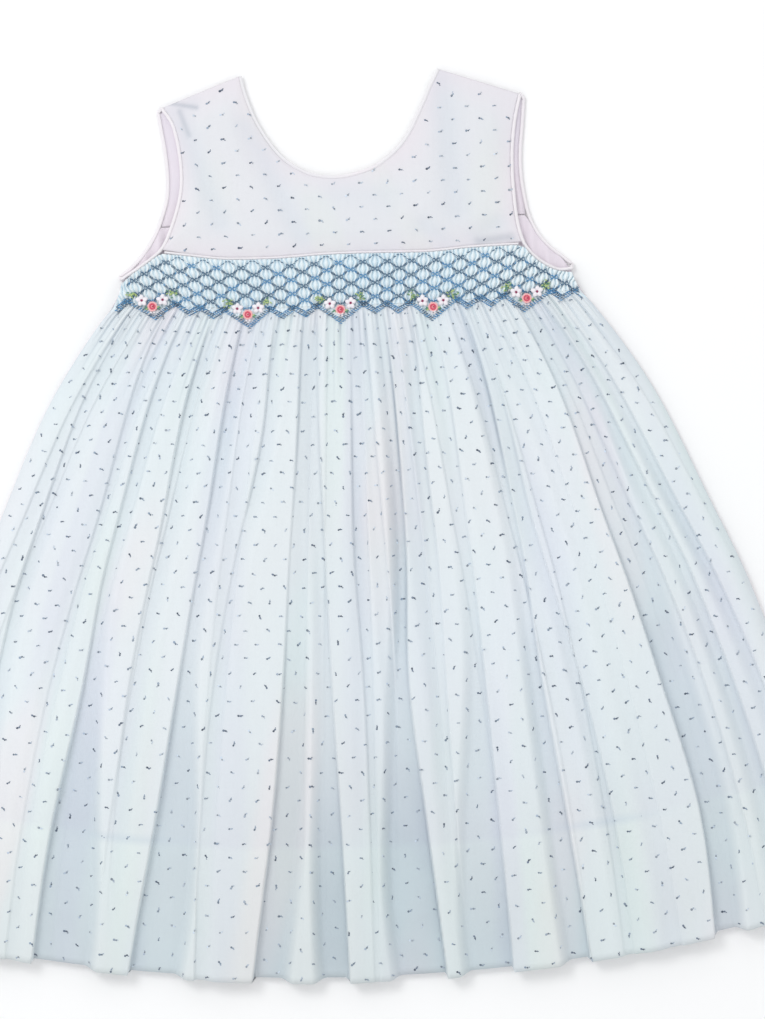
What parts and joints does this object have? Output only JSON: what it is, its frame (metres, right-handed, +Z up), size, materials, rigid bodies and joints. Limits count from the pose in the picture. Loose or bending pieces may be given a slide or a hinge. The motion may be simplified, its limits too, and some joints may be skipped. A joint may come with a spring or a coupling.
{
  "type": "smocked dress laid flat",
  "caption": "Sleeveless toddler's dress laid flat: plain yoke, smocked band, full gathered skirt and piped edges.",
  "frame": {"origin": "centre of the outline on the surface that the dress lies on", "axes": "+Y from hem to neck, +Z up out of the front, +X to the right of a viewer who looks down on the front, which is the wearer's left"},
  "size_m": [0.5576, 0.532, 0.0132],
  "materials": {
    "yoke_cloth": "plain woven cotton with small tufts, matt",
    "skirt_cloth": "plain woven cotton with small tufts, matt",
    "back_cloth": "plain woven cotton, matt, inner face in shade",
    "piping_cloth": "bias-cut cotton over cord, matt"
  },
  "bodies": {
    "root": {"yoke_front": "yoke_cloth", "yoke_back_left": "back_cloth", "yoke_back_right": "back_cloth", "skirt_front": "skirt_cloth", "skirt_back": "back_cloth", "armhole_piping_left": "piping_cloth", "armhole_piping_right": "piping_cloth", "neck_piping_front": "piping_cloth", "neck_piping_back_left": "piping_cloth", "neck_piping_back_right": "piping_cloth", "seam_piping": "piping_cloth"}
  },
  "joints": []
}
